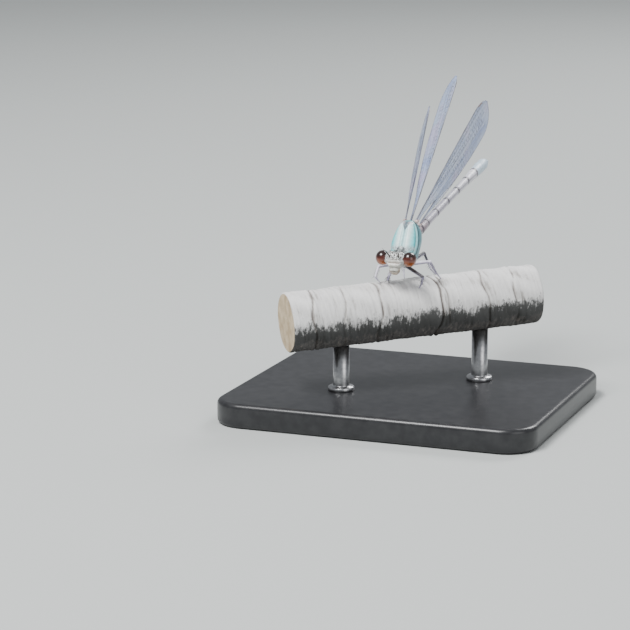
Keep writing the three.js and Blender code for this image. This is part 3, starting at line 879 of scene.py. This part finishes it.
long_veins = [
    (0.0, 0.0, 1.0, 0.0), (0.05, 0.02, 0.36, 0.0), (0.1, 0.0, 0.985, 0.03), (0.2, 0.16, 0.97, 0.2),
    (0.3, 0.28, 0.96, 0.36), (0.42, 0.2, 0.94, 0.52), (0.56, 0.36, 0.9, 0.68),
    (0.68, 0.42, 0.84, 0.84), (0.8, 0.16, 0.72, 0.97), (1.0, 0.0, 1.0, 1.0),
]


def wing_place(pose, t, u, lift=0.0):
    along = np.array(pose["aim"]) / np.linalg.norm(pose["aim"])
    up = np.array([0, 0, 1]) - along * along[2]
    up /= np.linalg.norm(up)
    out = np.cross(along, up) * pose["side"]
    turn = math.radians(pose["lean"])
    back = -up * math.cos(turn) + out * math.sin(turn)
    face = np.cross(back, along)
    t = np.asarray(t, float)
    u = np.asarray(u, float)
    into_tip = np.maximum(0, t - tip_start) / (1 - tip_start)
    round_off = np.sqrt(np.maximum(tip_bluntness, 1 - into_tip ** 2))
    apex = apex_share * pose["chord"] * step_up(t, 0.5, 1)
    opening = step_up(t, 0.02, 0.3)
    bow = 0.1 * np.sin(np.pi * np.minimum(1, t * 1.1))
    blade = stalk_half_width * (1 - opening) + opening * pose["chord"] * smooth_row(trailing_shape, t)
    lead = apex + (-stalk_half_width - bow - apex) * round_off
    trail = apex + (blade - apex) * round_off
    q = lead + (trail - lead) * u ** 1.25
    camber = 0.22 * np.sin(np.pi * u) * np.sin(np.pi * np.minimum(1, t * 1.05))
    pleat = 0.05 * np.sin(u * np.pi * 9) * (1 - u) * step_up(t, 0.05, 0.2)
    return (
        np.array(pose["root"])
        + np.multiply.outer(t * pose["length"], along)
        + np.multiply.outer(q, back)
        + np.multiply.outer(camber + pleat + lift, face)
    )


def vein_u(vein, t):
    at_root, start, end, at_tip = vein
    return at_root + (at_tip - at_root) * step_up((t - start) / (end - start), 0.25, 1.0)


def wing_veins(pose, draw):
    points = []
    edges = []

    def run(line):
        first = len(points)
        points.extend(line)
        edges.extend((first + k, first + k + 1) for k in range(len(line) - 1))

    for vein in long_veins:
        t = np.linspace(vein[1], vein[2], 46)
        run(list(wing_place(pose, t, vein_u(vein, t))))
    for upper, lower in zip(long_veins, long_veins[1:]):
        start = max(upper[1], lower[1], cross_vein_start)
        end = min(upper[2], lower[2])
        count = int((end - start) * pose["length"] / cross_vein_spacing)
        for k in range(count):
            t = start + (end - start) * (k + 0.5 + draw.uniform(-0.18, 0.18)) / count
            shift = draw.uniform(-0.004, 0.004)
            a = wing_place(pose, t, vein_u(upper, t))
            b = wing_place(pose, t + shift, vein_u(lower, t + shift))
            run([a, (a + b) / 2, b])
    return points, edges


def growing_tree(name, size_name):
    tree = bpy.data.node_groups.new(name, "GeometryNodeTree")
    tree.interface.new_socket("Geometry", in_out="INPUT", socket_type="NodeSocketGeometry")
    size = tree.interface.new_socket(size_name, in_out="INPUT", socket_type="NodeSocketFloat")
    tree.interface.new_socket("Geometry", in_out="OUTPUT", socket_type="NodeSocketGeometry")
    return tree, add_node(tree, "NodeGroupInput"), size.identifier


def finish_tree(tree, geometry, material):
    whole = add_node(tree, "GeometryNodeRealizeInstances", {0: geometry})
    coat = add_node(tree, "GeometryNodeSetMaterial", {"Geometry": whole.outputs[0], "Material": material})
    add_node(tree, "NodeGroupOutput", {0: coat.outputs["Geometry"]})


def vein_tree(material):
    tree, entry, radius_socket = growing_tree("veins", "Vein Radius")
    lines = add_node(tree, "GeometryNodeMeshToCurve", {0: entry.outputs["Geometry"]})
    profile = add_node(tree, "GeometryNodeCurvePrimitiveCircle", {
        "Resolution": 5,
        "Radius": entry.outputs["Vein Radius"],
    })
    sweep = add_node(tree, "GeometryNodeCurveToMesh", {
        "Curve": lines.outputs[0],
        "Profile Curve": profile.outputs["Curve"],
        "Fill Caps": True,
    })
    finish_tree(tree, sweep.outputs[0], material)
    return tree, radius_socket


def in_metres(points):
    return [tuple(np.array(point) / 1000 + np.array(head_centre)) for point in points]


def grown_piece(name, source, tree, size_socket, size):
    start = bpy.data.objects.new(f"{name}_start", source)
    bpy.context.collection.objects.link(start)
    grow = start.modifiers.new("grow", "NODES")
    grow.node_group = tree
    grow[size_socket] = size
    evaluated = start.evaluated_get(bpy.context.evaluated_depsgraph_get())
    piece = bpy.data.objects.new(name, bpy.data.meshes.new_from_object(evaluated))
    bpy.data.objects.remove(start)
    bpy.context.collection.objects.link(piece)
    return piece


def membrane_material():
    material, tree, shader = new_material("wing membrane")
    place = object_place(tree)
    edge = add_node(tree, "ShaderNodeLayerWeight", {"Blend": 0.35})
    veil = add_node(tree, "ShaderNodeMapRange", {
        "Value": edge.outputs["Facing"],
        "To Min": 0.3,
        "To Max": 0.75,
    })
    set_inputs(tree, shader, {
        "Base Color": colour_ramp(tree, noise_value(tree, place, 260), [
            (0.3, (0.30, 0.40, 0.72)),
            (0.5, (0.46, 0.56, 0.80)),
            (0.7, (0.58, 0.54, 0.80)),
        ]),
        "Alpha": veil.outputs[0],
        "Normal": bump_normal(tree, noise_value(tree, place, 1500), 0.3, 0.00002),
        "Roughness": 0.16,
        "Coat Weight": 0.5,
        "Coat Roughness": 0.08,
    })
    return material


def sheet_rings(pose, stops, fractions, half):
    rings = []
    for t in stops:
        level = np.full(len(fractions), t)
        upper = wing_place(pose, level, fractions, half)
        lower = wing_place(pose, level, fractions[::-1], -half)
        rings.append(np.vstack([upper, lower]))
    return rings


vein_material = plain_material("wing vein", (0.08, 0.08, 0.10), (0.22, 0.23, 0.29), 500, 0.35)
hinge_material = plain_material("wing hinge", (0.34, 0.20, 0.18), (0.82, 0.68, 0.64), 2600, 0.4)
cell_material = plain_material("wing cell", (0.10, 0.06, 0.05), (0.24, 0.15, 0.11), 3000, 0.35)
wing_film = membrane_material()
veins_tree, vein_radius_socket = vein_tree(vein_material)
tip_stops = np.sin(np.linspace(0, np.pi / 2, 30))[1:] * (1 - tip_start) + tip_start
film_stops = np.concatenate([np.linspace(0, tip_start, 91), tip_stops])
film_fractions = np.linspace(0, 1, 46)
edge_stops = np.linspace(0, 0.985, 60)
edge_fractions = np.full(60, 0.008)
edge_radii = [0.1, 0.075, 0.06, 0.055, 0.05, 0.04, 0.02]
cell_stops = np.linspace(0.9, 0.945, 10)
cell_fractions = np.linspace(0.015, 0.075, 6)
knuckle_radii = (0.26, 0.42, 0.24)
knuckle_rise = (0, 0, 0.08)
knuckle_lean = np.linspace(0.05, np.pi - 0.05, 20)
knuckle_lumps = 1 + 0.12 * np.outer(np.sin(2 * knuckle_lean), np.sin(3 * around(28)))
knuckle_shape = ball(20, 28) * knuckle_lumps[..., None] * knuckle_radii
for name, pose in wing_poses.items():
    film_rings = sheet_rings(pose, film_stops, film_fractions, film_half)
    wing = mesh_of_rings(f"wing_{name}_film", film_rings, wing_film)
    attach(wing, "root")
    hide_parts(f"wing_{name}")

    points, edges = wing_veins(pose, random.Random(f"veins {name}"))
    vein_lines = bpy.data.meshes.new(f"wing_{name}_lines")
    vein_lines.from_pydata(in_metres(points), edges, [])
    vein_lines.materials.append(vein_material)
    veins = grown_piece(f"wing_{name}_veins", vein_lines, veins_tree, vein_radius_socket, vein_radius)
    veins.data.shade_smooth()
    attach(veins, "root")

    rail_rings = tube_rings(wing_place(pose, edge_stops, edge_fractions), edge_radii, sides=8, rows=90)
    rail = mesh_of_rings(f"wing_{name}_edge", rail_rings, vein_material)
    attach(rail, "root")

    cell_rings = sheet_rings(pose, cell_stops, cell_fractions, cell_half)
    cell = mesh_of_rings(f"wing_{name}_cell", cell_rings, cell_material)
    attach(cell, "root")

    knuckle_rings = knuckle_shape + np.array(pose["root"]) + knuckle_rise
    knuckle = mesh_of_rings(f"wing_{name}_hinge", knuckle_rings, hinge_material)
    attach(knuckle, "root")

# Leg bristles and claws: stiff black bristles in two rows along every thigh and shin, longest on
# the shin, and a pair of hooked claws on each foot. Each is a thin cone rooted in the cuticle.
bristle_radius = 0.000028
thigh_bristles = dict(count=9, length=0.34)
shin_bristles = dict(count=8, length=0.62)
claw_length = 0.22
claw_inset = 0.04
bare_thigh = 0.25
bristle_spread = 0.08


def bristle_tree(material):
    tree, entry, radius_socket = growing_tree("bristles", "Root Radius")
    cone = add_node(tree, "GeometryNodeMeshCone", {
        "Vertices": 6,
        "Radius Top": 0,
        "Radius Bottom": entry.outputs["Root Radius"],
        "Depth": 1,
    })
    points = add_node(tree, "GeometryNodeMeshToPoints", {"Mesh": entry.outputs["Geometry"]})
    named = add_node(tree, "GeometryNodeInputNamedAttribute", {"Name": "way"}, data_type="FLOAT_VECTOR")
    way = named.outputs["Attribute"]
    turn = add_node(tree, "FunctionNodeAlignRotationToVector", {"Vector": way}, axis="Z")
    length = add_node(tree, "ShaderNodeVectorMath", {0: way}, operation="LENGTH")
    stretch = add_node(tree, "ShaderNodeCombineXYZ", {"X": 1, "Y": 1, "Z": length.outputs["Value"]})
    place = add_node(tree, "GeometryNodeInstanceOnPoints", {
        "Points": points.outputs[0],
        "Instance": cone.outputs["Mesh"],
        "Rotation": turn.outputs["Rotation"],
        "Scale": stretch.outputs[0],
    })
    finish_tree(tree, place.outputs[0], material)
    return tree, radius_socket


bristle_material = plain_material("black bristle", (0.008, 0.007, 0.007), (0.03, 0.025, 0.025), 6000, 0.3)
bristles_tree, bristle_socket = bristle_tree(bristle_material)


def planted(name, roots, ways, root_radius):
    mesh = bpy.data.meshes.new(f"{name}_roots")
    mesh.from_pydata(in_metres(roots), [], [])
    way = mesh.attributes.new("way", "FLOAT_VECTOR", "POINT")
    way.data.foreach_set("vector", (np.array(ways) / 1000).ravel())
    return grown_piece(name, mesh, bristles_tree, bristle_socket, root_radius)


roots = []
ways = []
bristle_draw = random.Random(11)
for joints in leg_joints.values():
    hip, knee, ankle, foot = [np.array(joint) for joint in joints]
    for start, end, bristles in ((hip, knee, thigh_bristles), (knee, ankle, shin_bristles)):
        along = (end - start) / np.linalg.norm(end - start)
        outward = np.cross(along, np.cross((0.2 * np.sign(hip[0]), -0.3, -0.9), along))
        outward /= np.linalg.norm(outward)
        across = np.cross(along, outward)
        for row in (-1, 1):
            for k in range(bristles["count"]):
                t = (k + 0.8 + 0.2 * row) / (bristles["count"] + 0.5)
                if start is hip and t < bare_thigh:
                    continue
                lean = outward * 0.75 + across * row * 0.75 + along * 0.62
                lean += np.array([bristle_draw.uniform(-bristle_spread, bristle_spread) for _ in range(3)])
                lean /= np.linalg.norm(lean)
                roots.append(start + (end - start) * t)
                ways.append(lean * bristles["length"] * bristle_draw.uniform(0.85, 1.15))
    along = (foot - ankle) / np.linalg.norm(foot - ankle)
    across = np.cross(along, (0, 0, 1))
    for row in (-1, 1):
        roots.append(foot - along * claw_inset)
        ways.append((along * 0.8 + across * row * 0.5 + np.array([0, 0, -0.25])) * claw_length)
leg_bristles = planted("leg_bristles", roots, ways, bristle_radius)
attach(leg_bristles, "root")

# Hairs: fine dark hairs standing on the crown of the head and on the collar behind it. They are
# much finer than the bristles of the legs.
hair_radius = 0.000013
crown_hairs = 130
collar_hairs = 60
hair_draw = random.Random(23)
roots = []
ways = []
for _ in range(crown_hairs):
    x = hair_draw.uniform(-0.95, 0.95)
    y = hair_draw.uniform(-0.55, 0.4)
    height = float(smooth_row(head_heights, (x / head_half_width + 1) / 2))
    roots.append((x, y, -0.04 + height * math.sqrt(max(0.05, 1 - ((y + 0.06) / 0.8) ** 2))))
    sweep_x = hair_draw.uniform(-0.14, 0.14)
    sweep_y = hair_draw.uniform(-0.18, 0.06)
    ways.append((0.12 * x + sweep_x, sweep_y, hair_draw.uniform(0.16, 0.34)))
for _ in range(collar_hairs):
    x = hair_draw.uniform(-0.66, 0.66)
    y = hair_draw.uniform(1.0, 2.0)
    roots.append((x, y, (0.35 + 0.45 * y) * math.sqrt(1 - (x / 0.8) ** 2)))
    sweep_x = hair_draw.uniform(-0.16, 0.16)
    sweep_y = hair_draw.uniform(-0.2, 0.05)
    ways.append((0.3 * x + sweep_x, sweep_y, hair_draw.uniform(0.12, 0.26)))
body_hairs = planted("body_hairs", roots, ways, hair_radius)
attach(body_hairs, "root")

# Perch: a short cut length of branch in pale, dry bark with ring scars, fine wrinkles and a bud, with
# painted shade darkening its lower side, its sawn ends showing pale wood. It lies across the top of the two
# rods.
perch_radius = 3.65
perch_length = 32
perch_turn = math.radians(38)
perch_slope = math.radians(3)
perch_middle = np.array([0.8, 3.6, -6.56])
perch_along = np.array([
    math.cos(perch_turn) * math.cos(perch_slope),
    math.sin(perch_turn) * math.cos(perch_slope),
    math.sin(perch_slope),
])
perch_across = np.cross(perch_along, (0, 0, 1))
perch_across /= np.linalg.norm(perch_across)
perch_up = np.cross(perch_across, perch_along)
full_phase = 6.28
bark_draw = np.random.default_rng(5)
waves = [
    (bark_draw.integers(1, 9), bark_draw.uniform(0.1, 2.4), bark_draw.uniform(0, full_phase))
    for _ in range(14)
]
ripples = [
    (bark_draw.integers(14, 60), bark_draw.integers(1, 7), bark_draw.uniform(0, full_phase))
    for _ in range(16)
]
scars = [
    (-13.2, 0.1, 0.12), (-9.4, 0.06, 0.1), (-5.0, 0.09, 0.14), (2.6, 0.14, 0.12), (3.5, 0.06, 0.08),
    (8.8, 0.09, 0.12), (12.6, 0.07, 0.1),
]
wrinkle_ranges = ((-15.5, 15.5), (0.012, 0.04), (0.04, 0.09), (0, full_phase))
wrinkles = [tuple(bark_draw.uniform(*span) for span in wrinkle_ranges) for _ in range(44)]
perch_turns = around(300)
end_rounding = 0.15
perch_rings = []
bark_shade = []
bark_under = []
for distance in np.linspace(-perch_length / 2, perch_length / 2, 260):
    lump = sum(0.012 * np.sin(n * perch_turns + k * distance + phase) for n, k, phase in waves)
    crack = sum(0.006 * np.sin(k * perch_turns + n * distance * 0.35 + phase) for n, k, phase in ripples)
    scar = 0
    lips = 0
    band = 0
    for number, (place, depth, width) in enumerate(scars):
        wander = 0.3 * np.sin(perch_turns * 2 + 1 + number) + 0.12 * np.sin(perch_turns * 5 + 2 * number)
        past_scar = distance + wander - place
        scar = scar + depth * hump(past_scar, 0, width)
        lips = lips + 0.5 * depth * (hump(past_scar, -0.35, 0.2) + hump(past_scar, 0.35, 0.2))
        band = band + depth * hump(past_scar, 0.5, 0.5)
    for place, depth, width, start in wrinkles:
        wander = 0.25 * np.sin(perch_turns * 2 + start) + 0.08 * np.sin(perch_turns * 5 + 3 * start)
        reach = (0.5 + 0.5 * np.cos(perch_turns - 2 * start)) ** 1.5
        scar = scar + depth * hump(distance + wander - place, 0, width) * reach
    bud = 0.26 * hump(distance, 3.9, 0.6) * hump(perch_turns, 1.2, 0.15)
    bud_hollow = 0.1 * hump(distance, 3.7, 0.7) * hump(perch_turns, 0.88, 0.1)
    edge = 0.12 * step_up(abs(distance), perch_length / 2 - end_rounding, perch_length / 2)
    radius = perch_radius + lump + crack - scar + lips + bud - bud_hollow - edge - 0.02
    # The bark's tone is darker in the sunken scars and wrinkles and to one side of each main scar, and
    # lighter on raised lips, lumps and ripples: painted shade and light that follow the relief, along with
    # the scars' own darker colour.
    shade = 0.6 + 2.2 * crack - 3.5 * scar + 1.2 * lips + 1.5 * lump - 1.3 * band
    waver = 0.06 * np.sin(1.7 * distance) + 0.03 * np.sin(5.3 * distance)
    bark_shade.append(np.clip(shade, 0, 1))
    # Painted shade: a mask that rises towards the bottom of the branch, along a wavy edge.
    bark_under.append(step_up(-np.sin(perch_turns) + waver, -0.78, 0.72))
    middle = perch_middle + perch_along * distance
    perch_rings.append(ring_about(middle, perch_across, perch_up, radius, radius, perch_turns))
perch = mesh_of_rings("perch_bark", perch_rings)
for attribute, values in (("bark", bark_shade), ("under", bark_under)):
    layer = perch.data.attributes.new(attribute, "FLOAT", "POINT")
    layer.data.foreach_set("value", np.concatenate([*values, [0.5, 0.5]]))


def bark_material():
    material, tree, shader = new_material("pale bark")
    straight = add_node(tree, "ShaderNodeMapping", {
        "Vector": object_place(tree),
        "Rotation": (0, 0, -perch_turn),
    })
    stretched = add_node(tree, "ShaderNodeMapping", {
        "Vector": straight.outputs["Vector"],
        "Scale": (1, 0.5, 0.42),
    })
    fibres = noise_value(tree, stretched.outputs["Vector"], 3000, 7, 0.78)
    patches = noise_value(tree, straight.outputs["Vector"], 420, 6)
    bark = add_node(tree, "ShaderNodeAttribute", attribute_name="bark").outputs["Fac"]
    under = add_node(tree, "ShaderNodeAttribute", attribute_name="under").outputs["Fac"]
    pale = colour_ramp(tree, scaled_sum(tree, fibres, 0.5, bark), [
        (0.42, (0.16, 0.14, 0.13)),
        (0.62, (0.42, 0.40, 0.38)),
        (0.76, (0.68, 0.67, 0.66)),
        (1.0, (0.82, 0.81, 0.80)),
    ])
    # Painted shade on the lower side of the branch: near black along its upper edge, turning dark
    # brown-grey towards the bottom.
    underside_shade_amount = add_node(tree, "ShaderNodeMapRange", {
        "Value": scaled_sum(tree, patches, 0.35, scaled_sum(tree, under, 0.62, fibres)),
        "From Min": 0.94,
        "From Max": 1.08,
        "To Max": 0.9,
    })
    underside_shade_depth = scaled_sum(tree, fibres, 0.5, under)
    fade = add_node(tree, "ShaderNodeMath", {0: underside_shade_depth, 1: 0.75}, operation="MULTIPLY")
    underside_shade_colour = colour_ramp(tree, fade.outputs[0], [
        (0.9, (0.012, 0.013, 0.012)),
        (0.96, (0.075, 0.066, 0.06)),
        (1.0, (0.20, 0.165, 0.14)),
    ])
    blend = add_node(tree, "ShaderNodeMix", data_type="RGBA")
    set_inputs(tree, blend, {"Factor": underside_shade_amount.outputs[0], "A": pale, "B": underside_shade_colour})
    set_inputs(tree, shader, {
        "Base Color": blend.outputs["Result"],
        "Normal": bump_normal(tree, fibres, 0.8, 0.00008),
        "Roughness": 0.88,
        "Specular IOR Level": 0.2,
    })
    return material


perch.data.materials.append(bark_material())
perch.data.materials.append(plain_material("sawn wood", (0.48, 0.36, 0.22), (0.66, 0.53, 0.36), 900, 0.7))
for polygon in perch.data.polygons:
    if len(polygon.vertices) == 3:
        polygon.material_index = 1
        polygon.use_smooth = False
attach(perch, "root")
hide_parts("perch")

# Display stand: a flat base with rounded edges in satin black paint and two plain steel rods that
# are let into the base and carry the perch.
base_low, base_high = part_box("stand_base")
base_size = np.array(base_high) - np.array(base_low)
corner = 0.004
softening = 0.0006
quarters = enumerate(((1, 1), (-1, 1), (-1, -1), (1, -1)))
outline = [
    (sign_x, sign_y, math.cos(turn), math.sin(turn))
    for quarter, (sign_x, sign_y) in quarters
    for turn in np.linspace(quarter * np.pi / 2, (quarter + 1) * np.pi / 2, 10)
]
profile = [
    (softening * (1 - math.sin(a)), softening * (1 - math.cos(a)))
    for a in np.linspace(0, math.pi / 2, 7)
]
rings = []
for inset, rise in profile + [(inset, base_size[2] - rise) for inset, rise in reversed(profile)]:
    ring = []
    for sign_x, sign_y, c, s in outline:
        x = sign_x * (base_size[0] / 2 - corner) + (corner - inset) * c
        y = sign_y * (base_size[1] / 2 - corner) + (corner - inset) * s
        ring.append((x * 1000, y * 1000, rise * 1000))
    rings.append(ring)
base_middle = Vector(((base_low[0] + base_high[0]) / 2, (base_low[1] + base_high[1]) / 2, base_low[2]))
base_paint = plain_material("satin black paint", (0.016, 0.016, 0.018), (0.026, 0.026, 0.028), 900, 0.32)
base = mesh_of_rings("stand_base_board", rings, base_paint, base_middle)
for polygon in base.data.polygons:
    if len(polygon.vertices) == 3:
        polygon.use_smooth = False
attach(base, "root")
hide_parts("stand_base")

rod_steel = plain_material("rod steel", (0.42, 0.42, 0.43), (0.56, 0.56, 0.57), 2600, 0.3)
rod_steel.node_tree.nodes["Principled BSDF"].inputs["Metallic"].default_value = 1
rod_turns = around(40)
collar_profile = [(1.55, 0.0), (1.6, 0.08), (1.6, 0.42), (1.5, 0.52), (1.0, 0.56), (1.0, 0.7)]
for number in (1, 2):
    rod_low, rod_high = (np.array(corner_point) for corner_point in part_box(f"stand_rod_{number}"))
    middle = (rod_low + rod_high) / 2
    radius = (rod_high[0] - rod_low[0]) / 2 * 1000
    height = (rod_high[2] - base_high[2]) * 1000
    rings = [
        ring_of(wide * radius * np.cos(rod_turns), wide * radius * np.sin(rod_turns), level)
        for wide, level in collar_profile + [(1.0, height)]
    ]
    rod_foot = Vector((middle[0], middle[1], base_high[2]))
    rod = mesh_of_rings(f"stand_rod_{number}_steel", rings, rod_steel, rod_foot)
    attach(rod, "root")
    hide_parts(f"stand_rod_{number}")
